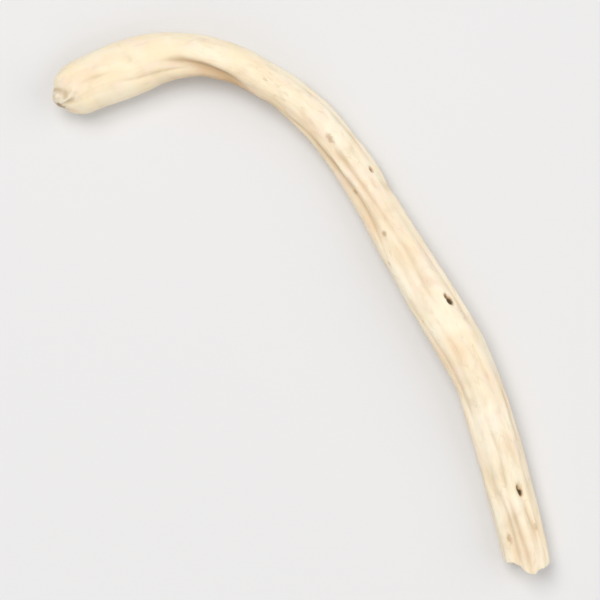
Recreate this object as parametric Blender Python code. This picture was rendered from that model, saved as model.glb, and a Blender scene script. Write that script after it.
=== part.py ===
"""One dried, peeled root of safed musli lying on a flat surface.

The root is a single solid. It has a rounded tail end with a shrivelled nib, a tight bend behind it, and a
long straighter run to the crown end, where it was broken from the plant. Lengths are in metres, +Z is up,
+X follows the chord from the tail to the crown, and the bend bulges towards +Y.
"""

import math

import bmesh
import bpy
import numpy as np

MM = 0.001

ROOT_NAME = "musli_root"
COLLECTION_NAME = "safed_musli_root"

FLESH_COLOUR = (0.905, 0.767, 0.545, 1.0)
FLESH_ROUGHNESS = 0.62

# Facets of the skin: sides round the root, and rings in the tail cap, along the body and across the break
SIDES = 48
CAP_RINGS = 12
BODY_RINGS = 86
BREAK_RINGS = 5

# Length of the rounded tail cap, and of the rim that turns in round the break
CAP_LENGTH = 3.1 * MM
RIM_LENGTH = 0.6 * MM
RIM_SHARE = 0.95

# Stations from tail to crown, in mm. Chord and bow place the middle of the root, as seen from above, from the
# centre of its outline. Width and height are its thickness, and lift is the height of its underside over the
# surface. A lift below zero is a place where the root rests: its skin is worn flat there.
STATION_COLUMNS = ("chord", "bow", "width", "height", "lift")
STATIONS = [
    (-35.2, -9.4, 5.6, 4.4, 0.9),
    (-33.8, -5.6, 5.85, 4.7, 0.0),
    (-32.2, -1.9, 6.15, 4.8, -0.25),
    (-30.4, 1.6, 5.4, 4.6, 0.1),
    (-27.8, 4.5, 4.5, 4.4, 0.5),
    (-24.4, 6.6, 4.05, 4.2, 0.75),
    (-19.7, 8.0, 3.95, 4.2, 0.6),
    (-14.8, 8.6, 4.15, 4.1, 0.15),
    (-8.9, 8.0, 4.25, 4.1, -0.25),
    (-3.0, 6.6, 4.35, 4.1, 0.0),
    (2.8, 5.0, 4.8, 4.3, 0.4),
    (8.6, 3.5, 5.2, 4.4, 0.7),
    (14.4, 2.0, 5.2, 4.5, 0.75),
    (17.1, 1.1, 4.9, 4.4, 0.6),
    (22.5, -1.6, 5.0, 4.3, 0.3),
    (27.8, -4.6, 5.0, 4.2, -0.2),
    (31.6, -6.9, 4.9, 4.2, -0.2),
    (36.2, -9.9, 4.8, 4.0, 0.2),
]

# Furrows in the dried skin: their path, half-widths and depth. A path is (mm along the root, degrees round
# it), where 0 faces the outside of the bend, 90 faces up and 180 faces the inside of the bend. The first
# half-width is on the side of the smaller angle, and they and the depth are in mm. A deep furrow fades in and
# out over a longer way than a shallow one.
FADE_PER_DEPTH = 10
FURROWS = {
    "tail_crease": ([(2, 84), (4, 83), (8, 91)], (0.35, 0.45), 0.16),
    "arch_fold": (
        [(12, 99), (15, 111), (17.5, 126), (20, 142), (22, 152), (23.5, 159)],
        (0.52, 0.66),
        0.46,
    ),
    "arch_line": ([(7, 112), (11, 125), (15, 129), (19, 150)], (0.34, 0.34), 0.12),
    "inner_groove": (
        [(27, 160), (31, 150), (35, 140), (38, 132), (40, 127), (43, 128), (47, 138)],
        (0.38, 0.38),
        0.16,
    ),
    "run_groove": (
        [(33, 106), (37, 102), (39, 97), (42, 90), (45, 85), (48, 81), (51, 86), (55, 89)],
        (0.55, 0.45),
        0.19,
    ),
    "middle_groove": ([(56, 102), (60, 114), (63, 118), (67, 112)], (0.50, 0.45), 0.09),
    "inner_line": ([(50, 156), (57, 145), (63, 146), (68, 140)], (0.45, 0.45), 0.10),
    "top_groove": ([(58, 68), (62, 64), (66, 60), (71, 60)], (0.50, 0.50), 0.09),
    "long_groove": ([(67, 103), (71, 95), (75, 99), (78, 96), (80.5, 87), (85, 82)], (0.46, 0.46), 0.18),
    "outer_flank": ([(26, 30), (34, 20), (44, 36), (52, 24), (58, 30)], (0.45, 0.45), 0.12),
    "outer_groove": ([(58, 8), (65, 12), (70, 27), (76, 36), (85, 22)], (0.45, 0.45), 0.14),
    "crown_groove": ([(74, 70), (76, 63), (77.5, 58), (79, 49), (82, 45)], (0.50, 0.48), 0.20),
    "crown_fold": ([(74, 127), (76, 119), (77.5, 114), (80, 112), (83, 106)], (0.48, 0.48), 0.19),
    "under_outer": ([(7, 318), (20, 326), (33, 315), (48, 322), (62, 312), (85, 322)], (0.5, 0.5), 0.30),
    "under_inner": ([(10, 228), (24, 214), (40, 224), (55, 216), (70, 226), (85, 218)], (0.5, 0.4), 0.36),
    "under_middle": ([(40, 262), (48, 272), (56, 266), (64, 276)], (0.4, 0.4), 0.22),
}

# Welts that stand up beside the furrows, written in the same way, with a height in place of the depth
WELTS = {
    "fold_lip": ([(13, 148), (17, 149), (21, 154), (25, 172)], (0.5, 0.7), 0.14),
    "run_welt": ([(32, 128), (36, 124), (39, 112), (43, 108), (48, 110)], (0.4, 0.4), 0.10),
    "crown_welt": ([(74, 82), (77, 76), (80, 70), (83, 68)], (0.45, 0.45), 0.09),
    "crown_edge": ([(72, 156), (76, 150), (80, 148), (85, 140)], (0.45, 0.45), 0.10),
}

# Knots and dents: (mm along, degrees round, reach along in mm, reach round in mm, height in mm)
KNOTS = {
    "outer_knot": (38.4, 8, 1.7, 1.2, 0.14),
    "outer_notch": (40.8, 4, 1.1, 1.3, -0.12),
    "inner_step": (25.4, 184, 1.3, 1.2, -0.12),
    "rootlet_pit": (54.4, 50, 0.65, 0.36, -0.30),
    "small_pit": (38.3, 42, 0.40, 0.28, -0.12),
    "crown_pit": (75.1, 67, 0.60, 0.34, -0.26),
    "crown_scar": (80.1, 123, 0.80, 0.50, 0.08),
    "under_knot": (30.5, 300, 1.6, 1.1, 0.18),
}

# Broad wrinkles with round crests and narrower valleys. They turn slowly round the root, and swell and fade
# along it: (number round, height in mm, turn in degrees per mm). The tail is smoother than the run.
WRINKLES = [(3, 0.16, 1.1), (5, 0.16, -0.8), (7, 0.12, 0.9), (9, 0.08, -0.6)]
TAIL_SMOOTHNESS = 0.7
SMOOTH_UNTIL = 16 * MM
WRINKLED_FROM = 42 * MM

# Nib at the tail tip: its centre across and up from the middle of the root, its radius, how far it stands
# out, the dip round it, and how far along the root it is felt
NIB_OFFSET = -0.1 * MM
NIB_RISE = 0.6 * MM
NIB_RADIUS = 1.15 * MM
NIB_LENGTH = 0.32 * MM
NIB_DIP = 0.14 * MM
NIB_REACH = 2.6 * MM

# Edge of the break: (degrees round, mm past the last full section), and the hollow inside it
BREAK_START = 82.8 * MM
BREAK_EDGE = [
    (0, 1.2), (20, 1.4), (45, 1.6), (66, 1.8), (84, 2.0), (97, 1.7), (108, 1.15),
    (118, 0.65), (146, 0.3), (180, 0.05), (225, 0.4), (270, 0.9), (320, 0.8),
]
BREAK_HOLLOW = 0.45 * MM


def clear_scene():
    for thing in list(bpy.data.objects):
        bpy.data.objects.remove(thing, do_unlink=True)


def eased(low, high, at):
    """Rises smoothly from 0 at low to 1 at high."""
    t = np.clip((at - low) / (high - low), 0.0, 1.0)
    return t * t * (3 - 2 * t)


def flowing(knots, values, at):
    """A smooth curve through the values at the knots, read at the given places."""
    knots = np.asarray(knots, float)
    values = np.asarray(values, float)
    slopes = np.gradient(values, knots)
    cell = np.clip(np.searchsorted(knots, at) - 1, 0, len(knots) - 2)
    width = knots[cell + 1] - knots[cell]
    t = np.clip((at - knots[cell]) / width, -0.4, 1.4)
    return (
        (2 * t**3 - 3 * t**2 + 1) * values[cell]
        + (t**3 - 2 * t**2 + t) * width * slopes[cell]
        + (3 * t**2 - 2 * t**3) * values[cell + 1]
        + (t**3 - t**2) * width * slopes[cell + 1]
    )


def station_lengths():
    """How far along the root each station lies."""
    middle = np.array(STATIONS)[:, :2] * MM
    steps = np.linalg.norm(np.diff(middle, axis=0), axis=1)
    return np.concatenate([[0.0], np.cumsum(steps)])


def station_value(name, along):
    column = STATION_COLUMNS.index(name)
    return flowing(station_lengths(), np.array(STATIONS)[:, column] * MM, along)


def centre_line(along):
    """Middle of the root, with the directions ahead, out of the bend and up, at each distance along."""

    def middle(at):
        rise = station_value("lift", at) + station_value("height", at) / 2
        return np.stack([station_value("chord", at), station_value("bow", at), rise], -1)

    step = 0.2 * MM
    heading = middle(along + step) - middle(along - step)
    heading /= np.linalg.norm(heading, axis=-1, keepdims=True)
    outward = np.cross([0.0, 0.0, 1.0], heading)
    outward /= np.linalg.norm(outward, axis=-1, keepdims=True)
    return middle(along), heading, outward, np.cross(heading, outward)


def turned(degrees_from, degrees_to):
    """Angle from one direction to another, the short way round, in radians."""
    return np.radians((degrees_to - degrees_from + 180.0) % 360.0 - 180.0)


def line_profile(line, along, around, radius):
    """Profile of a furrow or welt: its full size on the path, fading to nothing beside and beyond it."""
    path, (width_before, width_after), size = line
    places = np.array([place for place, _ in path]) * MM
    angles = np.array([angle for _, angle in path], float)
    across = turned(flowing(places, angles, along), around) * radius
    half_width = np.where(across < 0, width_before, width_after) * MM
    fade = max(3.0, FADE_PER_DEPTH * size) * MM
    start = eased(places[0] - MM, places[0] + fade, along)
    end = eased(places[-1] + MM, places[-1] - fade, along)
    return size * MM * start * end * np.exp(-np.abs(across / half_width) ** 1.6)


def knot_height(along, around, radius):
    height = np.zeros_like(along)
    for place, angle, reach_along, reach_round, full_height in KNOTS.values():
        ahead = (along - place * MM) / (reach_along * MM)
        across = turned(angle, around) * radius / (reach_round * MM)
        height += full_height * MM * np.exp(-(ahead**2) - across**2)
    return height


def wrinkle_height(along, around):
    height = np.zeros_like(along)
    for number, full_height, turn in WRINKLES:
        phase = np.radians(number * around + turn * along / MM) + 0.9 * np.sin(along / (6 * MM) + number)
        swell = 0.65 + 0.35 * np.sin(along / (5 * MM) + 2 * number + np.radians(around))
        height += full_height * MM * swell * (np.sqrt(np.cos(phase / 2) ** 2 + 0.05) - 0.68)
    return height * (1 - TAIL_SMOOTHNESS * eased(WRINKLED_FROM, SMOOTH_UNTIL, along))


def relief(along, around, radius):
    """Height of the skin over the plain oval section. The deepest furrow counts where two meet."""
    furrows = [line_profile(line, along, around, radius) for line in FURROWS.values()]
    welts = [line_profile(line, along, around, radius) for line in WELTS.values()]
    height = wrinkle_height(along, around) + knot_height(along, around, radius)
    return height + np.max(welts, axis=0) - np.max(furrows, axis=0)


def nib_shift(along, across, rise):
    """How far the nib stands out of the tail cap, with the shrivelled dip round it."""
    distance = np.hypot(across - NIB_OFFSET, rise - NIB_RISE) / NIB_RADIUS
    nib = NIB_LENGTH * np.exp(-(distance**4))
    dip = NIB_DIP * np.exp(-(((distance - 1.45) / 0.4) ** 2))
    return (nib - dip) * eased(NIB_REACH, 0.0, along)


def break_shift(around, share):
    """How far the broken crown reaches past the last full section: an uneven edge round a shallow hollow."""
    angles, reaches = np.array(BREAK_EDGE + [(360, BREAK_EDGE[0][1])], float).T
    edge = flowing(angles, reaches, around % 360.0) * MM
    average = np.mean(reaches) * MM
    inner = np.clip(share / RIM_SHARE, 0.0, 1.0)
    return average + (edge - average) * inner**2 - BREAK_HOLLOW * (1 - inner**2)


def ring_stations():
    """Distance along the root and share of its full girth, for each ring from the tail to the crown."""
    quarter = np.linspace(0.0, math.pi / 2, CAP_RINGS, endpoint=False)
    cap = [(CAP_LENGTH * (1 - math.cos(turn)), math.sin(turn)) for turn in quarter]
    body = [(place, 1.0) for place in np.linspace(CAP_LENGTH, BREAK_START - RIM_LENGTH, BODY_RINGS)]
    face = [(BREAK_START, RIM_SHARE * share) for share in np.linspace(1.0, 0.0, BREAK_RINGS + 1)]
    return np.array(cap + body + face)


def skin(ring, around):
    """Points of the skin, for ring numbers and for degrees round the root."""
    along, share = ring_stations()[ring].T
    on_break = ring >= CAP_RINGS + BODY_RINGS
    towards_break = eased(BREAK_START - 12 * MM, BREAK_START, along)

    half_width = station_value("width", along) / 2
    half_height = station_value("height", along) / 2
    radius = (half_width + half_height) / 2
    girth = share * (1 + relief(along, around, radius) / radius * np.clip(share * 1.5, 0.0, 1.0))
    across = girth * half_width * np.cos(np.radians(around))
    rise = girth * half_height * np.sin(np.radians(around))

    reach = break_shift(around, np.where(on_break, share, RIM_SHARE)) * towards_break
    shift = reach - nib_shift(along, across, rise)
    middle, heading, outward, up = centre_line(along)
    points = middle + heading * shift[:, None] + outward * across[:, None] + up * rise[:, None]
    points[:, 2] = np.maximum(points[:, 2], 0.0)
    return points


def flesh_material():
    material = bpy.data.materials.new("dried_root_flesh")
    material.use_nodes = True
    shader = material.node_tree.nodes["Principled BSDF"]
    shader.inputs["Base Color"].default_value = FLESH_COLOUR
    shader.inputs["Roughness"].default_value = FLESH_ROUGHNESS
    shader.inputs["Metallic"].default_value = 0.0
    return material


def build_root():
    """The root, formed from a sphere whose rings are laid along it from the tail tip to the break."""
    rings = len(ring_stations()) - 1
    body = bmesh.new()
    bmesh.ops.create_uvsphere(body, u_segments=SIDES, v_segments=rings, radius=1.0)
    ball = np.array([point.co[:] for point in body.verts])
    ring = np.rint(np.arccos(np.clip(-ball[:, 2], -1, 1)) / math.pi * rings).astype(int)
    around = np.degrees(np.arctan2(ball[:, 1], ball[:, 0]))
    points = skin(ring, around)
    for vertex, point in zip(body.verts, points):
        vertex.co = point

    mesh = bpy.data.meshes.new(ROOT_NAME)
    body.to_mesh(mesh)
    body.free()
    mesh.shade_smooth()
    mesh.materials.append(flesh_material())
    return bpy.data.objects.new(ROOT_NAME, mesh)


def main():
    clear_scene()
    collection = bpy.data.collections.new(COLLECTION_NAME)
    bpy.context.scene.collection.children.link(collection)
    collection.objects.link(build_root())


main()
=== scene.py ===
"""A peeled, sun-dried root of safed musli on a pale table, in soft studio light.

The root is one piece. Its fine skin follows the same stations, furrows, welts and knots as the solid that
it stands for, and adds what the solid's facets are too coarse for: sharp creases, narrow pit bottoms, the
folds of the nib, the torn grain of the break, and the fine wrinkles of drying. Lengths are in metres, +Z is
up, +X follows the chord from the tail to the crown, and the bend bulges towards +Y. Degrees round the root
start at the outside of the bend, 90 faces up and 180 faces the inside of the bend.
"""

import math
import bmesh
import bpy
import numpy as np
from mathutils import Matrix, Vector


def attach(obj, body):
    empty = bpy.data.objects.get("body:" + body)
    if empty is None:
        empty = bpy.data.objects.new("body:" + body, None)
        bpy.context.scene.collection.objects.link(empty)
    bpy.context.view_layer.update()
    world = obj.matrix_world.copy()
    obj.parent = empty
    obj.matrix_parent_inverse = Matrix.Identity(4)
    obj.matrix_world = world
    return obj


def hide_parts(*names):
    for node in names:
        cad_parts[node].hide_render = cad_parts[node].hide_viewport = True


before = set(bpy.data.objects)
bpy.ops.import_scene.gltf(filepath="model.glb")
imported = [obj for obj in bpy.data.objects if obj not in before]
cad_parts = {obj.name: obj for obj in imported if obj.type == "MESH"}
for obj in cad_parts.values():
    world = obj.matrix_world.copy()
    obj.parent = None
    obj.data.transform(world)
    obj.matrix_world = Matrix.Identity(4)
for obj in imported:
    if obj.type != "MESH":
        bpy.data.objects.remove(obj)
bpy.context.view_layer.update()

MM = 0.001
SEED = 23

# Rings and sides of the fine skin
SIDES = 256
CAP_RINGS = 48
BODY_RINGS = 298
RIM_RINGS = 8
FACE_RINGS = 24

# The root's own form, as its solid has it
CAP_LENGTH = 3.1 * MM
RIM_LENGTH = 0.6 * MM
RIM_SHARE = 0.95

# Radius of the straight root that the colour and wrinkle patterns are laid on
MEAN_RADIUS = 2.4 * MM

# Stations from tail to crown, in mm: the middle of the root as seen from above, its width and height, and how
# far its underside is over the table. Below zero it rests there and is worn flat.
STATION_COLUMNS = ("chord", "bow", "width", "height", "lift")
STATIONS = [
    (-35.2, -9.4, 5.6, 4.4, 0.9),
    (-33.8, -5.6, 5.85, 4.7, 0.0),
    (-32.2, -1.9, 6.15, 4.8, -0.25),
    (-30.4, 1.6, 5.4, 4.6, 0.1),
    (-27.8, 4.5, 4.5, 4.4, 0.5),
    (-24.4, 6.6, 4.05, 4.2, 0.75),
    (-19.7, 8.0, 3.95, 4.2, 0.6),
    (-14.8, 8.6, 4.15, 4.1, 0.15),
    (-8.9, 8.0, 4.25, 4.1, -0.25),
    (-3.0, 6.6, 4.35, 4.1, 0.0),
    (2.8, 5.0, 4.8, 4.3, 0.4),
    (8.6, 3.5, 5.2, 4.4, 0.7),
    (14.4, 2.0, 5.2, 4.5, 0.75),
    (17.1, 1.1, 4.9, 4.4, 0.6),
    (22.5, -1.6, 5.0, 4.3, 0.3),
    (27.8, -4.6, 5.0, 4.2, -0.2),
    (31.6, -6.9, 4.9, 4.2, -0.2),
    (36.2, -9.9, 4.8, 4.0, 0.2),
]

# Furrows: path as (mm along, degrees round), half-widths before and after it in mm, depth in mm. A deep one
# fades in and out over a longer way.
FADE_PER_DEPTH = 10
FURROWS = {
    "tail_crease": ([(2, 84), (4, 83), (8, 91)], (0.35, 0.45), 0.16),
    "arch_fold": (
        [(12, 99), (15, 111), (17.5, 126), (20, 142), (22, 152), (23.5, 159)],
        (0.52, 0.66),
        0.46,
    ),
    "arch_line": ([(7, 112), (11, 125), (15, 129), (19, 150)], (0.34, 0.34), 0.12),
    "inner_groove": (
        [(27, 160), (31, 150), (35, 140), (38, 132), (40, 127), (43, 128), (47, 138)],
        (0.38, 0.38),
        0.16,
    ),
    "run_groove": (
        [(33, 106), (37, 102), (39, 97), (42, 90), (45, 85), (48, 81), (51, 86), (55, 89)],
        (0.55, 0.45),
        0.19,
    ),
    "middle_groove": ([(56, 102), (60, 114), (63, 118), (67, 112)], (0.50, 0.45), 0.09),
    "inner_line": ([(50, 156), (57, 145), (63, 146), (68, 140)], (0.45, 0.45), 0.10),
    "top_groove": ([(58, 68), (62, 64), (66, 60), (71, 60)], (0.50, 0.50), 0.09),
    "long_groove": ([(67, 103), (71, 95), (75, 99), (78, 96), (80.5, 87), (85, 82)], (0.46, 0.46), 0.18),
    "outer_flank": ([(26, 30), (34, 20), (44, 36), (52, 24), (58, 30)], (0.45, 0.45), 0.12),
    "outer_groove": ([(58, 8), (65, 12), (70, 27), (76, 36), (85, 22)], (0.45, 0.45), 0.14),
    "crown_groove": ([(74, 70), (76, 63), (77.5, 58), (79, 49), (82, 45)], (0.50, 0.48), 0.20),
    "crown_fold": ([(74, 127), (76, 119), (77.5, 114), (80, 112), (83, 106)], (0.48, 0.48), 0.19),
    "under_outer": ([(7, 318), (20, 326), (33, 315), (48, 322), (62, 312), (85, 322)], (0.5, 0.5), 0.30),
    "under_inner": ([(10, 228), (24, 214), (40, 224), (55, 216), (70, 226), (85, 218)], (0.5, 0.4), 0.36),
    "under_middle": ([(40, 262), (48, 272), (56, 266), (64, 276)], (0.4, 0.4), 0.22),
}

# Welts beside the furrows, written in the same way, with a height
WELTS = {
    "fold_lip": ([(13, 148), (17, 149), (21, 154), (25, 172)], (0.5, 0.7), 0.14),
    "run_welt": ([(32, 128), (36, 124), (39, 112), (43, 108), (48, 110)], (0.4, 0.4), 0.10),
    "crown_welt": ([(74, 82), (77, 76), (80, 70), (83, 68)], (0.45, 0.45), 0.09),
    "crown_edge": ([(72, 156), (76, 150), (80, 148), (85, 140)], (0.45, 0.45), 0.10),
}

# Knots and dents: mm along, degrees round, reach along and round in mm, height in mm
KNOTS = {
    "outer_knot": (38.4, 8, 1.7, 1.2, 0.14),
    "outer_notch": (40.8, 4, 1.1, 1.3, -0.12),
    "inner_step": (25.4, 184, 1.3, 1.2, -0.12),
    "rootlet_pit": (54.4, 50, 0.65, 0.36, -0.30),
    "small_pit": (38.3, 42, 0.40, 0.28, -0.12),
    "crown_pit": (75.1, 67, 0.60, 0.34, -0.26),
    "crown_scar": (80.1, 123, 0.80, 0.50, 0.08),
    "under_knot": (30.5, 300, 1.6, 1.1, 0.18),
}

# Broad wrinkles: number round, height in mm, turn in degrees per mm
WRINKLES = [(3, 0.16, 1.1), (5, 0.16, -0.8), (7, 0.12, 0.9), (9, 0.08, -0.6)]
# Share of their height that the tail lacks, until where, and from where on they have all of it
TAIL_SMOOTHNESS = 0.7
SMOOTH_UNTIL = 16 * MM
WRINKLED_FROM = 42 * MM

# Nib at the tail tip: its centre across and up from the middle of the root, its radius, how far it stands
# out, the dip round it, and how far along the root it reaches
NIB_OFFSET = -0.1 * MM
NIB_RISE = 0.6 * MM
NIB_RADIUS = 1.15 * MM
NIB_LENGTH = 0.32 * MM
NIB_DIP = 0.14 * MM
NIB_REACH = 2.6 * MM

# Break: where it starts, the run before it over which its uneven edge takes hold, that edge as (degrees
# round, mm past the start), and the hollow inside it
BREAK_START = 82.8 * MM
BREAK_RUN_UP = 12 * MM
BREAK_EDGE = [
    (0, 1.2), (20, 1.4), (45, 1.6), (66, 1.8), (84, 2.0), (97, 1.7), (108, 1.15),
    (118, 0.65), (146, 0.3), (180, 0.05), (225, 0.4), (270, 0.9), (320, 0.8),
]
BREAK_HOLLOW = 0.45 * MM
# Fine teeth on the edge of the break: number round and height in mm
TEETH = [(9, 0.040), (14, 0.034), (23, 0.028), (37, 0.020)]

# What the fine skin adds. Sharp creases at the bottoms of furrows: half-width and depth in mm.
CREASES = {
    "arch_fold": (0.34, 0.02),
    "arch_line": (0.20, 0.02),
    "inner_groove": (0.20, 0.03),
    "run_groove": (0.20, 0.02),
    "inner_line": (0.18, 0.015),
    "long_groove": (0.26, 0.02),
    "outer_groove": (0.18, 0.015),
    "crown_groove": (0.34, 0.015),
    "crown_fold": (0.34, 0.015),
    "under_outer": (0.14, 0.07),
    "under_inner": (0.14, 0.09),
    "under_middle": (0.12, 0.06),
}
# Depth from which a crease takes the full colour of its painted shade
DEEP_CREASE = 0.14 * MM
# Furrows with painted shade on their floors: from and to, in mm along, and how strongly it shows
SHADED_FURROW_FLOORS = {
    "run_groove": (35, 55, 0.55),
    "inner_groove": (32, 41.5, 0.90),
    "long_groove": (76.5, 82, 0.90),
    "crown_fold": (74, 83, 0.50),
}
# Short creases scattered over the run: how many, their length, half-width and depth in mm
LOOSE_CREASES = 44
LOOSE_LENGTH = (0.6, 4)
LOOSE_HALF_WIDTH = (0.10, 0.22)
LOOSE_DEPTH = (0.02, 0.05)

# Open pits where rootlets grew: mm along, degrees round, half-length and half-width in mm, depth in mm
PITS = {
    "rootlet": (54.6, 50, 0.45, 0.35, 0.28),
    "rootlet_top": (53.9, 54.5, 0.34, 0.27, 0.15),
    "small": (38.3, 42, 0.38, 0.24, 0.12),
    "crown": (75.35, 64, 0.33, 0.26, 0.28),
    "crown_top": (74.9, 69.5, 0.28, 0.21, 0.18),
    "under": (30.5, 300, 0.35, 0.20, 0.20),
    "inner": (62.5, 196, 0.34, 0.16, 0.20),
}
# Depth in mm from which a pit is fully dark, its painted shade growing with its depth
DARK_PIT = 0.24
# Peach patches of thicker dried juice: mm along, degrees round, half-length and half-width in mm, strength
PEACH_PATCHES = {
    "shoulder": (33.0, 126, 3.4, 0.9, 0.8),
    "run": (42.0, 130, 4.6, 1.0, 1.0),
    "beside_groove": (42.0, 104, 3.0, 0.8, 0.8),
    "flank": (63.0, 158, 4.0, 0.8, 0.7),
    "middle": (60.0, 105, 1.6, 0.6, 0.5),
    "crown": (80.5, 118, 1.8, 0.8, 0.7),
    "crown_outer": (79.0, 60, 1.4, 0.6, 0.5),
}
# Spots of dried juice and bruised skin: mm along, degrees round, half-length and half-width in mm, strength
SPOTS = {
    "grey_smear": (33.0, 96, 0.95, 0.48, 0.74),
    "short_streak": (31.2, 123, 0.90, 0.20, 0.50),
    "red_dot": (39.5, 128, 0.40, 0.26, 0.85),
    "brown_dot": (45.0, 111, 0.38, 0.32, 0.95),
    "outer_speck": (56.1, 37, 0.16, 0.13, 0.90),
    "inner_speck": (55.9, 47, 0.14, 0.12, 0.85),
    "low_speck": (56.9, 40, 0.13, 0.10, 0.75),
    "crown_bruise": (80.1, 124, 0.80, 0.36, 0.80),
    "outer_bruise": (78.8, 43, 0.60, 0.42, 0.60),
    "inner_bruise": (58.0, 205, 1.40, 0.60, 0.55),
    "under_bruise": (22.0, 262, 1.80, 0.70, 0.50),
}


def eased(low, high, at):
    """Rises smoothly from 0 at low to 1 at high."""
    t = np.clip((at - low) / (high - low), 0.0, 1.0)
    return t * t * (3 - 2 * t)


def flowing(knots, values, at):
    """A smooth curve through the values at the knots, read at the given places."""
    knots = np.asarray(knots, float)
    values = np.asarray(values, float)
    slopes = np.gradient(values, knots)
    cell = np.clip(np.searchsorted(knots, at) - 1, 0, len(knots) - 2)
    width = knots[cell + 1] - knots[cell]
    t = np.clip((at - knots[cell]) / width, -0.4, 1.4)
    return (
        (2 * t**3 - 3 * t**2 + 1) * values[cell]
        + (t**3 - 2 * t**2 + t) * width * slopes[cell]
        + (3 * t**2 - 2 * t**3) * values[cell + 1]
        + (t**3 - t**2) * width * slopes[cell + 1]
    )


def station_value(name, along):
    """Width, height, lift or place of the root at each distance along it."""
    stations = np.array(STATIONS) * MM
    steps = np.linalg.norm(np.diff(stations[:, :2], axis=0), axis=1)
    lengths = np.concatenate([[0.0], np.cumsum(steps)])
    return flowing(lengths, stations[:, STATION_COLUMNS.index(name)], along)


def centre_line(along):
    """Middle of the root, with the directions ahead, out of the bend and up, at each distance along."""

    def middle(at):
        rise = station_value("lift", at) + station_value("height", at) / 2
        return np.stack([station_value("chord", at), station_value("bow", at), rise], -1)

    step = 0.2 * MM
    heading = middle(along + step) - middle(along - step)
    heading /= np.linalg.norm(heading, axis=-1, keepdims=True)
    outward = np.cross([0.0, 0.0, 1.0], heading)
    outward /= np.linalg.norm(outward, axis=-1, keepdims=True)
    return middle(along), heading, outward, np.cross(heading, outward)


def turned(degrees_from, degrees_to):
    """Angle from one direction to another, the short way round, in radians."""
    return np.radians((degrees_to - degrees_from + 180.0) % 360.0 - 180.0)


def line_profile(line, along, around, radius):
    """Profile of a furrow or welt: its full size on the path, fading to nothing beside and beyond it."""
    path, (width_before, width_after), size = line
    places = np.array([place for place, _ in path]) * MM
    angles = np.array([angle for _, angle in path], float)
    across = turned(flowing(places, angles, along), around) * radius
    half_width = np.where(across < 0, width_before, width_after) * MM
    fade = max(3.0, FADE_PER_DEPTH * size) * MM
    start = eased(places[0] - MM, places[0] + fade, along)
    end = eased(places[-1] + MM, places[-1] - fade, along)
    return size * MM * start * end * np.exp(-np.abs(across / half_width) ** 1.6)


def knot_height(along, around, radius):
    height = np.zeros_like(along)
    for place, angle, reach_along, reach_round, full_height in KNOTS.values():
        ahead = (along - place * MM) / (reach_along * MM)
        across = turned(angle, around) * radius / (reach_round * MM)
        height += full_height * MM * np.exp(-(ahead**2) - across**2)
    return height


def wrinkle_height(along, around):
    height = np.zeros_like(along)
    for number, full_height, turn in WRINKLES:
        phase = np.radians(number * around + turn * along / MM) + 0.9 * np.sin(along / (6 * MM) + number)
        swell = 0.65 + 0.35 * np.sin(along / (5 * MM) + 2 * number + np.radians(around))
        height += full_height * MM * swell * (np.sqrt(np.cos(phase / 2) ** 2 + 0.05) - 0.68)
    return height * (1 - TAIL_SMOOTHNESS * eased(WRINKLED_FROM, SMOOTH_UNTIL, along))


def relief(along, around, radius):
    """Height of the skin over the plain oval section, as the solid has it."""
    furrows = [line_profile(line, along, around, radius) for line in FURROWS.values()]
    welts = [line_profile(line, along, around, radius) for line in WELTS.values()]
    height = wrinkle_height(along, around) + knot_height(along, around, radius)
    return height + np.max(welts, axis=0) - np.max(furrows, axis=0)


def nib_shift(along, across, rise):
    """How far the nib stands out of the tail cap, with the shrivelled dip round it."""
    distance = np.hypot(across - NIB_OFFSET, rise - NIB_RISE) / NIB_RADIUS
    nib = NIB_LENGTH * np.exp(-(distance**4))
    dip = NIB_DIP * np.exp(-(((distance - 1.45) / 0.4) ** 2))
    return (nib - dip) * eased(NIB_REACH, 0.0, along)


def break_shift(around, share):
    """How far the broken crown reaches past the last full section: an uneven edge round a shallow hollow."""
    angles, reaches = np.array(BREAK_EDGE + [(360, BREAK_EDGE[0][1])], float).T
    edge = flowing(angles, reaches, around % 360.0) * MM
    average = np.mean(reaches) * MM
    inner = np.clip(share / RIM_SHARE, 0.0, 1.0)
    return average + (edge - average) * inner**2 - BREAK_HOLLOW * (1 - inner**2)


def wandering(at, draw, reach):
    """A crooked line about zero, which strays by about reach."""
    waves = zip(draw.uniform(2.5, 11.0, 5) * MM, draw.uniform(0, 2 * math.pi, 5))
    return reach * sum(np.sin(2 * math.pi * at / wave + phase) for wave, phase in waves) / 2.2


def crease_depths(along, around, radius):
    """Sharp creases: those at the bottoms of the furrows, and short ones scattered over the run."""
    draw = np.random.default_rng(SEED)
    depth = np.zeros_like(along)

    def cut(middle, start, end, half_width, full_depth):
        ends = eased(start - 1.5 * MM, start + 1.5 * MM, along) * eased(end + 1.5 * MM, end - 1.5 * MM, along)
        pulse = 0.75 + 0.35 * wandering(along, draw, 1.0)
        across = turned(middle + wandering(along, draw, 2.2), around) * radius
        profile = np.exp(-np.abs(across / (half_width * MM)) ** 1.3)
        np.maximum(depth, full_depth * MM * ends * pulse * profile, out=depth)

    for name, (half_width, full_depth) in CREASES.items():
        places, angles = np.array(FURROWS[name][0], float).T
        cut(flowing(places * MM, angles, along), places[0] * MM, places[-1] * MM, half_width, full_depth)
    for _ in range(LOOSE_CREASES):
        start = (12 + 70 * draw.uniform() ** 0.8) * MM
        end = start + draw.uniform(*LOOSE_LENGTH) * MM
        middle = draw.uniform(0, 360) + draw.uniform(-0.9, 0.9) * (along - start) / MM
        cut(middle, start, end, draw.uniform(*LOOSE_HALF_WIDTH), draw.uniform(*LOOSE_DEPTH))
    return depth


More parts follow.
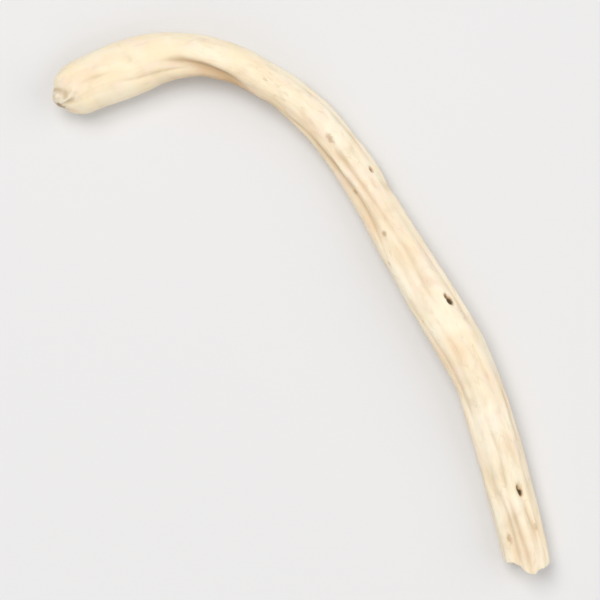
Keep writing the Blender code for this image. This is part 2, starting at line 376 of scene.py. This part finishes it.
def patch(spot, along, around, radius, sharpness):
    """1 on a small oval patch and 0 round it. A higher sharpness gives it a crisper edge."""
    place, angle, half_length, half_width = spot[:4]
    ahead = (along - place * MM) / (half_length * MM)
    across = turned(angle, around) * radius / (half_width * MM)
    return np.exp(-((ahead**2 + across**2) ** sharpness))


def strongest(spots, along, around, radius, sharpness):
    """The strongest patch at each place. The fifth number of each says how strong it is."""
    return np.max([patch(spot, along, around, radius, sharpness) * spot[4] for spot in spots], axis=0)


def flank_under_fold(along, around, radius):
    """1 on the inner flank of the bend, from the fold down, where shade is painted."""
    places, angles = np.array(FURROWS["arch_fold"][0], float).T
    below_fold = turned(flowing(places * MM, angles, along), around) * radius
    reach = eased(14 * MM, 18 * MM, along) * eased(29 * MM, 21 * MM, along)
    return eased(-0.25 * MM, 0.40 * MM, below_fold) * eased(235, 205, around % 360) * reach


def fold_floor(along, around, radius):
    """1 on the floor of the fold in the bend, and less up its sides, where shade is painted."""
    path, _, depth = FURROWS["arch_fold"]
    return line_profile((path, (0.38, 0.55), depth), along, around, radius) / (depth * MM)


def furrow_floor_shade(along, around, radius):
    """1 where painted shade shows most, on the floors of some furrows."""
    floors = []
    for name, (start, end, strength) in SHADED_FURROW_FLOORS.items():
        path, (before, after), _ = FURROWS[name]
        floor = line_profile((path, (0.85 * before, 0.85 * after), 0.2), along, around, radius) / (0.2 * MM)
        reach = eased(start - 1.5, start + 1.5, along / MM) * eased(end + 1.5, end - 1.5, along / MM)
        floors.append(strength * reach * floor)
    return np.max(floors, axis=0)


def nib_detail(aside, above):
    """Dents round the nib, where it is dry, where grey shade is painted in its dents, and where it is dead,
    for places seen from the tail's end.

    Two small pale bumps stand in the nib, a groove with painted grey shade runs round the upper half of its
    rim, a dead brown spot lies below them, and a raised collar and a soft ring crease go over the top of the
    tail behind it.
    """
    aside = aside - NIB_OFFSET
    above = above - NIB_RISE
    away = np.hypot(aside, above) / NIB_RADIUS
    turn = np.degrees(np.arctan2(above, aside))

    def ring(place, width):
        return np.exp(-(((away - place) / width) ** 2))

    def lump(place_aside, place_above, reach):
        return np.exp(-((aside / MM - place_aside) ** 2 + (above / MM - place_above) ** 2) / reach**2)

    bumps = lump(0.33, 0.52, 0.34) + 0.7 * lump(-0.43, 0.86, 0.28)
    groove = ring(0.90 - 0.0008 * (turn - 30), 0.17) * eased(-50, -15, turn) * eased(128, 104, turn)
    side_dent = lump(-0.86, 0.90, 0.34)
    dead = lump(-0.62, -0.05, 0.40) + 0.8 * lump(-1.05, -0.25, 0.42)
    over_top = eased(25, 55, turn) * eased(165, 135, turn)
    ring_place = 1.43 + 0.6 * np.radians(94 - turn)
    collar = ring(ring_place - 0.27, 0.18) * over_top
    crease = ring(ring_place, 0.15) * over_top
    folds = ring(1.25, 0.6) * np.cos(np.radians(6 * turn) + 4 * away)
    dents = 0.15 * groove + 0.10 * side_dent + 0.10 * dead + 0.08 * crease
    dents -= 0.06 * collar + 0.13 * bumps - 0.025 * folds
    # Painted grey shade in the groove, the side dent and the ring crease
    grey = np.clip(groove + 0.7 * side_dent + 0.15 * crease, 0, 1)
    return dents * MM, np.exp(-((away / 1.15) ** 4)), grey, np.clip(dead, 0, 1)


def ring_plan():
    """For each ring from tail to crown: distance along, share of the full girth, and 1 on the break."""
    cap = [
        (CAP_LENGTH * (1 - math.cos(turn)), math.sin(turn), 0)
        for turn in np.linspace(0.0, math.pi / 2, CAP_RINGS, endpoint=False)
    ]
    body = [(place, 1.0, 0) for place in np.linspace(CAP_LENGTH, BREAK_START - RIM_LENGTH, BODY_RINGS)]
    rim = [
        (BREAK_START - RIM_LENGTH * (1 - math.sin(turn)), RIM_SHARE + (1 - RIM_SHARE) * math.cos(turn), 0)
        for turn in np.linspace(0.0, math.pi / 2, RIM_RINGS + 1, endpoint=False)[1:]
    ]
    face = [(BREAK_START, RIM_SHARE * share, 1) for share in np.linspace(1.0, 0.0, FACE_RINGS)]
    return np.array(cap + body + rim + face)


def fine_skin(ring, around):
    """Points of the fine skin, and what each of them is, for ring numbers and degrees round the root."""
    along, share, on_break = ring_plan()[ring].T
    draw = np.random.default_rng(SEED + 1)
    half_width = station_value("width", along) / 2
    half_height = station_value("height", along) / 2
    radius = (half_width + half_height) / 2

    creases = crease_depths(along, around, radius) * (1 - on_break)
    pit_stains_and_shade = [(*pit[:4], min(1, pit[4] / DARK_PIT)) for pit in PITS.values()]
    pits = strongest(pit_stains_and_shade, along, around, radius, 1.6)
    pit_depth = strongest(PITS.values(), along, around, radius, 1.3) * MM
    spots = strongest(SPOTS.values(), along, around, radius, 0.9)
    peach = strongest(PEACH_PATCHES.values(), along, around, radius, 0.8)

    height = relief(along, around, radius) - creases - pit_depth * (1 - on_break)
    girth = share * (1 + height / radius * np.clip(share * 1.5, 0.0, 1.0))
    across = girth * half_width * np.cos(np.radians(around))
    rise = girth * half_height * np.sin(np.radians(around))

    # The torn edge of the break, in fine teeth over the edge that the solid has
    towards_break = eased(BREAK_START - BREAK_RUN_UP, BREAK_START, along)
    teeth = sum(
        size * np.sin(np.radians(number * around) + phase)
        for (number, size), phase in zip(TEETH, draw.uniform(0, 6.28, len(TEETH)))
    )
    from_core = np.where(on_break, share / RIM_SHARE, 1.0)
    near_edge = eased(BREAK_START - 1.6 * MM, BREAK_START, along) * from_core**4
    shift = break_shift(around, np.where(on_break, share, RIM_SHARE)) * towards_break
    shift += teeth * MM * near_edge - nib_shift(along, across, rise)

    turn = np.radians(around)
    dents, nib, grey, dead = nib_detail(share * half_width * np.cos(turn), share * half_height * np.sin(turn))
    dents *= eased(4.5 * MM, 2.5 * MM, along)
    shift += dents * np.sqrt(1 - np.clip(share, 0, 1) ** 2)
    across -= dents * share * np.cos(turn)
    rise -= dents * share * np.sin(turn)

    middle, heading, outward, up = centre_line(along)
    points = middle + heading * shift[:, None] + outward * across[:, None] + up * rise[:, None]

    # The place on a straight root of even thickness, for the patterns drawn out along it
    straight = np.stack([MEAN_RADIUS * np.cos(turn), MEAN_RADIUS * np.sin(turn), along], -1)
    straight[:, :2] *= np.clip(share, 0.05, 1.0)[:, None]
    inside = np.clip(-np.cos(turn), 0, 1) ** 2
    marks = {
        "wrinkled": eased(6 * MM, 34 * MM, along) * (1 - on_break),
        # Also where shade is painted on the inside of the bend
        "inside_bend": inside * eased(9 * MM, 16 * MM, along) * eased(34 * MM, 24 * MM, along),
        "shaded_flank": flank_under_fold(along, around, radius),
        "fold": fold_floor(along, around, radius),
        "painted_furrow_shade": furrow_floor_shade(along, around, radius),
        "crease": np.clip(creases / DEEP_CREASE, 0.0, 1.0),
        "pit": pits * (1 - on_break),
        "spot": spots * (1 - on_break),
        "peach": peach * (1 - on_break),
        "nib": nib * eased(NIB_REACH, 1.2 * MM, along),
        "nib_dent_shade": grey * eased(3.4 * MM, 2.2 * MM, along),
        "dead": dead * eased(NIB_REACH, 1.2 * MM, along),
        "broken": on_break,
        "from_core": from_core,
    }
    return points, straight, marks


def add(tree, kind, wires=None, **settings):
    """Adds a node with its settings. Each wire gives an input a value or another node's output."""
    node = tree.nodes.new(kind)
    for name, value in settings.items():
        setattr(node, name, value)
    for socket, value in (wires or {}).items():
        if isinstance(value, bpy.types.NodeSocket):
            tree.links.new(value, node.inputs[socket])
        else:
            node.inputs[socket].default_value = value
    return node


def colour(hexadecimal):
    """An sRGB hex colour as linear light."""
    parts = [int(hexadecimal[start : start + 2], 16) / 255 for start in (1, 3, 5)]
    linear = [part / 12.92 if part <= 0.04045 else ((part + 0.055) / 1.055) ** 2.4 for part in parts]
    return (*linear, 1.0)


DRIED_SKIN_INPUTS = {
    "Wrinkle spacing": 2.1 * MM,
    "Wrinkle depth": 0.075 * MM,
    "Streak spacing": 0.70 * MM,
    "Streak depth": 0.020 * MM,
    "Stretch": 3.6,
    "Patch size": 4.5 * MM,
    "Waver size": 2.4 * MM,
    "Waver height": 0.21 * MM,
    "Ripple spacing": 0.90 * MM,
    "Ripple depth": 0.018 * MM,
    "Torn grain size": 0.32 * MM,
    "Torn grain height": 0.16 * MM,
}


def dried_skin_tree(material):
    """Geometry Nodes that wrinkle the skin as drying does, and record how deep each point lies."""
    tree = bpy.data.node_groups.new("dried_skin", "GeometryNodeTree")
    tree.interface.new_socket("Geometry", in_out="INPUT", socket_type="NodeSocketGeometry")
    for name, value in DRIED_SKIN_INPUTS.items():
        socket = tree.interface.new_socket(name, in_out="INPUT", socket_type="NodeSocketFloat")
        socket.default_value = value
    tree.interface.new_socket("Seed", in_out="INPUT", socket_type="NodeSocketInt")
    tree.interface.new_socket("Geometry", in_out="OUTPUT", socket_type="NodeSocketGeometry")
    given = add(tree, "NodeGroupInput").outputs

    def maths(operation, *values):
        return add(tree, "ShaderNodeMath", dict(enumerate(values)), operation=operation).outputs[0]

    def mark(name, kind="FLOAT"):
        return add(tree, "GeometryNodeInputNamedAttribute", {"Name": name}, data_type=kind).outputs[0]

    def noise(vector, scale, seed, detail, roughness=0.5, distortion=0.0):
        wires = {
            "Vector": vector,
            "W": seed,
            "Scale": scale,
            "Detail": detail,
            "Roughness": roughness,
            "Distortion": distortion,
        }
        return add(tree, "ShaderNodeTexNoise", wires, noise_dimensions="4D").outputs[0]

    straight = mark("straight", "FLOAT_VECTOR")

    def lengthwise_noise(spacing, offset):
        """Noise drawn out along the root, with wandering lines."""
        scaled = maths("DIVIDE", 1.0, spacing)
        drawn_out = maths("DIVIDE", scaled, given["Stretch"])
        scale = add(tree, "ShaderNodeCombineXYZ", {0: scaled, 1: scaled, 2: drawn_out}).outputs[0]
        place = add(tree, "ShaderNodeVectorMath", {0: straight, 1: scale}, operation="MULTIPLY").outputs[0]
        return noise(place, 1.0, maths("ADD", given["Seed"], offset), 2.0, 0.5, 0.35)

    def valleys(noise, sharpness):
        """Round crests with rounded valleys between them, from 0 in a valley to 1."""
        off_middle = maths("MULTIPLY", maths("SUBTRACT", noise, 0.5), sharpness)
        square = maths("MULTIPLY", off_middle, off_middle)
        return maths("DIVIDE", square, maths("ADD", square, 0.35))

    position = add(tree, "GeometryNodeInputPosition").outputs[0]
    normal = add(tree, "GeometryNodeInputNormal").outputs[0]

    # Wrinkles run out and start again, in patches, and the tail has few
    patch_scale = maths("DIVIDE", 1.0, given["Patch size"])
    patches = noise(position, patch_scale, maths("ADD", given["Seed"], 4.5), 1.0)
    wires = {"Value": patches, 1: 0.36, 2: 0.62, 3: 0.25, 4: 1.0}
    patches = add(tree, "ShaderNodeMapRange", wires).outputs[0]
    amount = maths("MULTIPLY", maths("MULTIPLY_ADD", mark("wrinkled"), 0.60, 0.40), patches)
    wrinkles = valleys(lengthwise_noise(given["Wrinkle spacing"], 1.5), 5.5)
    wrinkles = maths("MULTIPLY", maths("SUBTRACT", wrinkles, 0.6), given["Wrinkle depth"])
    wrinkles = maths("MULTIPLY", wrinkles, amount)
    streaks = valleys(lengthwise_noise(given["Streak spacing"], 7.5), 6.0)
    streaks = maths("MULTIPLY", maths("SUBTRACT", streaks, 0.6), given["Streak depth"])
    streaks = maths("MULTIPLY", streaks, patches)
    waver_scale = maths("DIVIDE", 1.0, given["Waver size"])
    waver = noise(position, waver_scale, given["Seed"], 1.0, 0.4)
    waver = maths("MULTIPLY", maths("SUBTRACT", waver, 0.5), given["Waver height"])

    # Small ripples across the inside of the bend
    along = add(tree, "ShaderNodeSeparateXYZ", {0: straight}).outputs[2]
    crooked = maths("MULTIPLY", maths("SUBTRACT", wrinkles, streaks), 30.0)
    ripple_phase = maths("DIVIDE", maths("ADD", along, crooked), given["Ripple spacing"])
    ripples = maths("ABSOLUTE", maths("SINE", maths("MULTIPLY", ripple_phase, math.pi)))
    ripples = maths("MULTIPLY", maths("MULTIPLY", ripples, given["Ripple depth"]), mark("inside_bend"))

    # Torn grain on the break alone
    grain_scale = maths("DIVIDE", 1.0, given["Torn grain size"])
    grain = noise(position, grain_scale, given["Seed"], 2.0, 0.6)
    grain = maths("MULTIPLY", maths("SUBTRACT", grain, 0.5), given["Torn grain height"])
    grain = maths("MULTIPLY", grain, mark("broken"))

    whole = maths("SUBTRACT", 1.0, mark("broken"))
    skin_height = maths("ADD", maths("ADD", wrinkles, streaks), maths("ADD", waver, ripples))
    skin_height = maths("MULTIPLY", skin_height, whole)
    height = maths("ADD", skin_height, grain)
    offset = add(tree, "ShaderNodeVectorMath", {0: normal, "Scale": height}, operation="SCALE").outputs[0]
    moved = add(tree, "GeometryNodeSetPosition", {"Geometry": given["Geometry"], "Offset": offset}).outputs[0]

    # What would sink into the table is pressed flat
    apart = add(tree, "ShaderNodeSeparateXYZ", {0: add(tree, "GeometryNodeInputPosition").outputs[0]}).outputs
    raised = maths("MAXIMUM", apart[2], 0.0)
    pressed = add(tree, "ShaderNodeCombineXYZ", {0: apart[0], 1: apart[1], 2: raised}).outputs[0]
    geometry = add(tree, "GeometryNodeSetPosition", {"Geometry": moved, "Position": pressed}).outputs[0]

    # Depth below the smoothed skin, in mm, over a narrow and a wide reach
    for name, iterations in {"valley": 14, "valley_wide": 110}.items():
        here = add(tree, "GeometryNodeInputPosition").outputs[0]
        wires = {"Value": here, "Iterations": iterations}
        smoothed = add(tree, "GeometryNodeBlurAttribute", wires, data_type="FLOAT_VECTOR").outputs[0]
        above = add(tree, "ShaderNodeVectorMath", {0: smoothed, 1: here}, operation="SUBTRACT").outputs[0]
        outwards = add(tree, "GeometryNodeInputNormal").outputs[0]
        wires = {0: above, 1: outwards}
        depth = add(tree, "ShaderNodeVectorMath", wires, operation="DOT_PRODUCT").outputs["Value"]
        wires = {"Geometry": geometry, "Name": name, "Value": maths("DIVIDE", depth, MM)}
        stored = add(tree, "GeometryNodeStoreNamedAttribute", wires, data_type="FLOAT", domain="POINT")
        geometry = stored.outputs[0]

    real = add(tree, "GeometryNodeRealizeInstances", {"Geometry": geometry}).outputs[0]
    dressed = add(tree, "GeometryNodeSetMaterial", {"Geometry": real, "Material": material}).outputs[0]
    add(tree, "NodeGroupOutput", {"Geometry": dressed})
    return tree


def peeled_sun_dried_root_flesh():
    """Starchy root flesh, peeled with a knife and dried in the sun.

    It is cream, yellower at the smooth tail and pinker on the wrinkled run, with painted shade as tan in the
    valleys and creases, a faint waxy sheen, a little light passing through it, and grey-brown where rootlets
    and the tip died, with painted shade in the pits and round the nib.
    """
    material = bpy.data.materials.new("peeled_sun_dried_root_flesh")
    material.use_nodes = True
    tree = material.node_tree
    tree.nodes.clear()

    def maths(operation, *values):
        return add(tree, "ShaderNodeMath", dict(enumerate(values)), operation=operation).outputs[0]

    def mark(name):
        return add(tree, "ShaderNodeAttribute", attribute_name=name).outputs["Fac"]

    def noise(vector, scale, detail=3.0, roughness=0.55, distortion=0.0):
        wires = {
            "Vector": vector,
            "Scale": scale,
            "Detail": detail,
            "Roughness": roughness,
            "Distortion": distortion,
        }
        return add(tree, "ShaderNodeTexNoise", wires).outputs["Fac"]

    def between(value, low, high, to_low=0.0, to_high=1.0):
        wires = {"Value": value, 1: low, 2: high, 3: to_low, 4: to_high}
        return add(tree, "ShaderNodeMapRange", wires, interpolation_type="SMOOTHSTEP").outputs[0]

    def mixed(factor, first, second):
        second = colour(second) if isinstance(second, str) else second
        return add(tree, "ShaderNodeMix", {0: factor, 6: first, 7: second}, data_type="RGBA").outputs[2]

    straight = add(tree, "ShaderNodeAttribute", attribute_name="straight").outputs["Vector"]
    object_place = add(tree, "ShaderNodeTexCoord").outputs["Object"]
    along = add(tree, "ShaderNodeSeparateXYZ", {0: straight}).outputs[2]

    def lengthwise(spacing, stretch):
        """Coordinates for a pattern of that spacing, drawn out along the root."""
        scale = Vector((1 / spacing, 1 / spacing, 1 / (spacing * stretch)))
        return add(tree, "ShaderNodeVectorMath", {0: straight, 1: scale}, operation="MULTIPLY").outputs[0]

    # Cream flesh in soft blotches of 4 mm, yellower at the tail and pinker from the shoulder on
    blotch = noise(object_place, 1 / (4 * MM), 2.0, 0.5)
    tail_flesh = mixed(between(blotch, 0.35, 0.68), colour("#F9EDD3"), "#F6E6C5")
    run_flesh = mixed(between(blotch, 0.35, 0.68), colour("#FBF0DA"), "#F7E8CB")
    flesh = mixed(between(along, 14 * MM, 36 * MM), tail_flesh, run_flesh)

    # Faint clouds: pink ones 2 mm wide, and grey ones 1 mm wide
    pink = noise(lengthwise(2.2 * MM, 1.5), 1.0, 2.0, 0.55, 0.3)
    flesh = mixed(between(pink, 0.50, 0.70, 0.0, 0.45), flesh, "#F9E3D4")
    grey = noise(lengthwise(1.5 * MM, 2.0), 1.3, 3.0, 0.6, 0.5)
    flesh = mixed(between(grey, 0.50, 0.75, 0.0, 0.42), flesh, "#DDD0B6")

    # Peach clouds where juice dried on the skin, 2 mm wide and drawn out along the root
    cloud = noise(lengthwise(2.0 * MM, 2.6), 1.0, 3.0, 0.6, 0.4)
    on_run = between(mark("wrinkled"), 0.0, 1.0, 0.30, 0.40)
    flesh = mixed(maths("MULTIPLY", between(cloud, 0.48, 0.72), on_run), flesh, "#EBCFAA")
    peach = maths("MULTIPLY", mark("peach"), between(cloud, 0.30, 0.60, 0.35, 1.0))
    flesh = mixed(maths("MULTIPLY", peach, 0.55), flesh, "#E6C299")

    # Faint lengthwise streaks of denser flesh, 0.9 mm apart
    streak = noise(lengthwise(0.9 * MM, 9), 1.0, 3.0, 0.6, 0.3)
    flesh = mixed(maths("MULTIPLY", between(streak, 0.5, 0.75), 0.22), flesh, "#E2C8A2")

    # The dry nib: greyish and softly mottled
    tip_grain = noise(object_place, 1 / (0.6 * MM), 2.0, 0.5)
    tip = mixed(between(tip_grain, 0.35, 0.65), colour("#EADFCB"), "#D5C6A8")
    flesh = mixed(maths("MULTIPLY", mark("nib"), 0.80), flesh, tip)
    # Painted grey shade in the groove and dents round the nib
    flesh = mixed(maths("MULTIPLY", mark("nib_dent_shade"), 0.46), flesh, "#B09F82")

    # Painted shade: tan in the valleys and on the places marked below, and darker tan at the bottoms of the
    # creases
    valley = between(mark("valley"), -0.004, 0.050)
    wide = between(mark("valley_wide"), -0.05, 0.18)
    flesh = mixed(maths("MULTIPLY", wide, 0.58), flesh, "#D8C09A")
    # Painted shade on the inside of the bend
    flesh = mixed(maths("MULTIPLY", mark("inside_bend"), 0.34), flesh, "#E4C195")
    # Painted shade on the flank under the fold
    flesh = mixed(maths("MULTIPLY", mark("shaded_flank"), 0.46), flesh, "#C0935E")
    # Painted shade on the floor of the fold
    flesh = mixed(maths("MULTIPLY", mark("fold"), 0.55), flesh, "#A8845A")
    # Painted shade on the floors of some furrows
    painted_furrow_shade = maths("MULTIPLY", mark("painted_furrow_shade"), between(cloud, 0.25, 0.60, 0.6, 1.0))
    flesh = mixed(maths("MULTIPLY", painted_furrow_shade, 0.50), flesh, "#BF9F78")
    flesh = mixed(maths("MULTIPLY", valley, 0.30), flesh, "#CDB48E")
    flesh = mixed(maths("MULTIPLY", maths("MULTIPLY", mark("crease"), valley), 0.30), flesh, "#B08F66")

    # Crests are paler
    crest = between(mark("valley"), -0.015, -0.05)
    flesh = mixed(maths("MULTIPLY", crest, 0.30), flesh, "#FBF3E3")

    # Hair-fine checks in the dried skin, in patches
    check_noise = noise(lengthwise(0.9 * MM, 4.0), 1.0, 2.0, 0.5, 0.2)
    check_line = maths("ABSOLUTE", maths("SUBTRACT", check_noise, 0.5))
    checked = between(noise(object_place, 1 / (3.0 * MM), 1.0, 0.5), 0.46, 0.62)
    checked = maths("MULTIPLY", checked, between(mark("wrinkled"), 0.1, 0.8, 0.25, 1.0))
    check = maths("MULTIPLY", between(check_line, 0.022, 0.004), checked)
    flesh = mixed(maths("MULTIPLY", check, 0.22), flesh, "#C2A982")

    # Brown flecks of peel, about 0.3 mm wide and a few mm apart
    wires = {"Vector": lengthwise(1.7 * MM, 2.2), "Scale": 1.0}
    cells = add(tree, "ShaderNodeTexVoronoi", wires, distance="EUCLIDEAN")
    chance = add(tree, "ShaderNodeSeparateColor", {0: cells.outputs["Color"]}).outputs[0]
    rare = maths("GREATER_THAN", chance, 0.86)
    fleck = maths("MULTIPLY", between(cells.outputs["Distance"], 0.12, 0.04), rare)
    flesh = mixed(maths("MULTIPLY", fleck, 0.35), flesh, "#B98858")

    # Bruised and juice-stained spots, with ragged edges
    ragged = noise(object_place, 1 / (0.35 * MM), 3.0, 0.7)
    spot = between(maths("ADD", mark("spot"), maths("MULTIPLY_ADD", ragged, 0.7, -0.35)), 0.25, 0.75)
    flesh = mixed(maths("MULTIPLY", spot, 0.56), flesh, "#AB855C")

    # The torn face: whiter and mealy, with a faint ring round the core
    torn_grain = noise(object_place, 1 / (0.22 * MM), 3.0, 0.7)
    torn = mixed(between(torn_grain, 0.35, 0.7), colour("#F6EAD2"), "#E2C79C")
    wavering = maths("MULTIPLY_ADD", ragged, 0.30, -0.51)
    ring = maths("ABSOLUTE", maths("ADD", mark("from_core"), wavering))
    torn = mixed(between(ring, 0.12, 0.01, 0.0, 0.36), torn, "#C79D68")
    flesh = mixed(mark("broken"), flesh, torn)

    # Grey-brown where the nib died
    dead = maths("ADD", mark("dead"), maths("MULTIPLY_ADD", ragged, 1.6, -0.95))
    flesh = mixed(maths("MULTIPLY", between(dead, 0.10, 0.95), 0.66), flesh, "#8C6F4C")

    # Rootlet pits: dark brown inside, partly their own colour and partly painted shade that grows with the
    # pit's depth, with a lighter brown stain round them
    pit = mark("pit")
    flesh = mixed(between(pit, 0.02, 0.5, 0.0, 0.55), flesh, "#A67C52")
    flesh = mixed(between(pit, 0.30, 0.75, 0.0, 0.92), flesh, "#4A3C28")

    # A faint waxy sheen that breaks up in the grain
    mottle = noise(object_place, 1 / (0.6 * MM), 3.0, 0.6)
    roughness = between(mottle, 0.3, 0.7, 0.56, 0.70)
    roughness = maths("ADD", roughness, maths("MULTIPLY", valley, 0.12))

    # Fine lengthwise scores 0.3 mm apart, drawn coarse enough to show, and a mealy grain of 0.12 mm
    scores = noise(lengthwise(0.3 * MM, 10), 1.0, 2.0, 0.5, 0.2)
    grain = noise(object_place, 1 / (0.12 * MM), 2.0, 0.6)
    wires = {"Strength": 0.45, "Distance": 0.030 * MM, "Height": scores}
    bump = add(tree, "ShaderNodeBump", wires).outputs[0]
    wires = {"Strength": 0.5, "Distance": 0.014 * MM, "Height": grain, "Normal": bump}
    bump = add(tree, "ShaderNodeBump", wires).outputs[0]

    wires = {
        "Base Color": flesh,
        "Roughness": roughness,
        "Normal": bump,
        "IOR": 1.47,
        "Specular IOR Level": 0.35,
        "Subsurface Weight": 0.22,
        "Subsurface Radius": (1.0, 0.55, 0.30),
        "Subsurface Scale": 0.7 * MM,
    }
    shader = add(tree, "ShaderNodeBsdfPrincipled", wires)
    add(tree, "ShaderNodeOutputMaterial", {"Surface": shader.outputs[0]})
    return material


def build_root():
    """The fine skin: a sphere laid out ring by ring, wrinkled by Geometry Nodes and made a plain mesh."""
    rings = len(ring_plan()) - 1
    body = bmesh.new()
    bmesh.ops.create_uvsphere(body, u_segments=SIDES, v_segments=rings, radius=1.0)
    ball = np.array([point.co[:] for point in body.verts])
    ring = np.rint(np.arccos(np.clip(-ball[:, 2], -1, 1)) / math.pi * rings).astype(int)
    points, straight, marks = fine_skin(ring, np.degrees(np.arctan2(ball[:, 1], ball[:, 0])))
    mesh = bpy.data.meshes.new("root_flesh")
    body.to_mesh(mesh)
    body.free()
    mesh.vertices.foreach_set("co", points.astype(np.float32).ravel())
    mesh.shade_smooth()
    mesh.attributes.new("straight", "FLOAT_VECTOR", "POINT").data.foreach_set(
        "vector", straight.astype(np.float32).ravel()
    )
    for name, values in marks.items():
        mesh.attributes.new(name, "FLOAT", "POINT").data.foreach_set("value", values.astype(np.float32))

    root = bpy.data.objects.new("root_flesh", mesh)
    bpy.context.scene.collection.objects.link(root)
    material = peeled_sun_dried_root_flesh()
    modifier = root.modifiers.new("dried_skin", "NODES")
    modifier.node_group = dried_skin_tree(material)
    sizes = {**DRIED_SKIN_INPUTS, "Seed": SEED}
    for socket in modifier.node_group.interface.items_tree:
        if socket.in_out == "INPUT" and socket.name in sizes:
            modifier[socket.identifier] = sizes[socket.name]
    evaluated = root.evaluated_get(bpy.context.evaluated_depsgraph_get())
    root.data = bpy.data.meshes.new_from_object(evaluated)
    root.modifiers.clear()
    return root


# Table: half its width, how far its top lies under the root's resting spots, and its colour
TABLE_REACH = 2.5
TABLE_DROP = 0.03 * MM
TABLE_COLOUR = "#E2E2E3"


def build_table():
    """A plain matt white table top, far larger than the root."""
    body = bmesh.new()
    bmesh.ops.create_grid(body, x_segments=1, y_segments=1, size=TABLE_REACH)
    bmesh.ops.translate(body, verts=body.verts, vec=(0.0, 0.0, -TABLE_DROP))
    mesh = bpy.data.meshes.new("white_table")
    body.to_mesh(mesh)
    body.free()
    material = bpy.data.materials.new("matt_white_laminate")
    material.use_nodes = True
    shader = material.node_tree.nodes["Principled BSDF"]
    shader.inputs["Base Color"].default_value = colour(TABLE_COLOUR)
    shader.inputs["Roughness"].default_value = 0.7
    shader.inputs["Specular IOR Level"].default_value = 0.2
    mesh.materials.append(material)
    table = bpy.data.objects.new("white_table", mesh)
    bpy.context.scene.collection.objects.link(table)
    return table


# The picture: the camera looks straight down, turned by this angle from the root's own frame. Then come the
# centre and width of what it shows, and the camera's height over the table, all in metres.
PICTURE_TURN = math.atan2(0.702, 0.712)
PICTURE_CENTRE = (-1.68 * MM, -6.30 * MM)
PICTURE_WIDTH = 64.3 * MM
CAMERA_HEIGHT = 0.45
SENSOR = 36.0
CLIP_START = 0.01

# Softboxes: azimuth and elevation in degrees, distance and size in metres, power in watts, and tint. Azimuth
# is in the picture: 0 is its right and 90 its top.
SOFTBOXES = {
    "key_softbox": (130, 64, 0.9, 0.55, 4.6, "#FFFCF8"),
    "right_fill": (5, 42, 1.0, 0.9, 2.8, "#FFFDFA"),
    "bottom_fill": (270, 38, 1.0, 0.9, 1.6, "#FFFDFA"),
}
BACKDROP_COLOUR = "#F4F5F7"
BACKDROP_STRENGTH = 0.47


def place_camera():
    data = bpy.data.cameras.new("camera")
    data.sensor_width = SENSOR
    data.lens = SENSOR * CAMERA_HEIGHT / PICTURE_WIDTH
    data.clip_start = CLIP_START
    camera = bpy.data.objects.new("camera", data)
    camera.location = (*PICTURE_CENTRE, CAMERA_HEIGHT)
    camera.rotation_euler = (0.0, 0.0, PICTURE_TURN)
    bpy.context.scene.collection.objects.link(camera)
    bpy.context.scene.camera = camera


def place_light(name, azimuth, elevation, distance, size, power, tint):
    """A square softbox that faces the root."""
    data = bpy.data.lights.new(name, "AREA")
    data.shape = "SQUARE"
    data.size = size
    data.energy = power
    data.color = colour(tint)[:3]
    light = bpy.data.objects.new(name, data)
    turn = math.radians(azimuth) + PICTURE_TURN
    rise = math.radians(elevation)
    away = Vector((math.cos(turn) * math.cos(rise), math.sin(turn) * math.cos(rise), math.sin(rise)))
    light.location = away * distance
    light.rotation_euler = away.to_track_quat("Z", "Y").to_euler()
    light.visible_camera = False
    bpy.context.scene.collection.objects.link(light)


def light_studio():
    for name, placing in SOFTBOXES.items():
        place_light(name, *placing)
    world = bpy.data.worlds.new("studio")
    world.use_nodes = True
    backdrop = world.node_tree.nodes["Background"]
    backdrop.inputs["Color"].default_value = colour(BACKDROP_COLOUR)
    backdrop.inputs["Strength"].default_value = BACKDROP_STRENGTH
    bpy.context.scene.world = world
    bpy.context.scene.view_settings.view_transform = "Standard"


root = build_root()
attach(root, "root")
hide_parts("musli_root")

table = build_table()

light_studio()
place_camera()
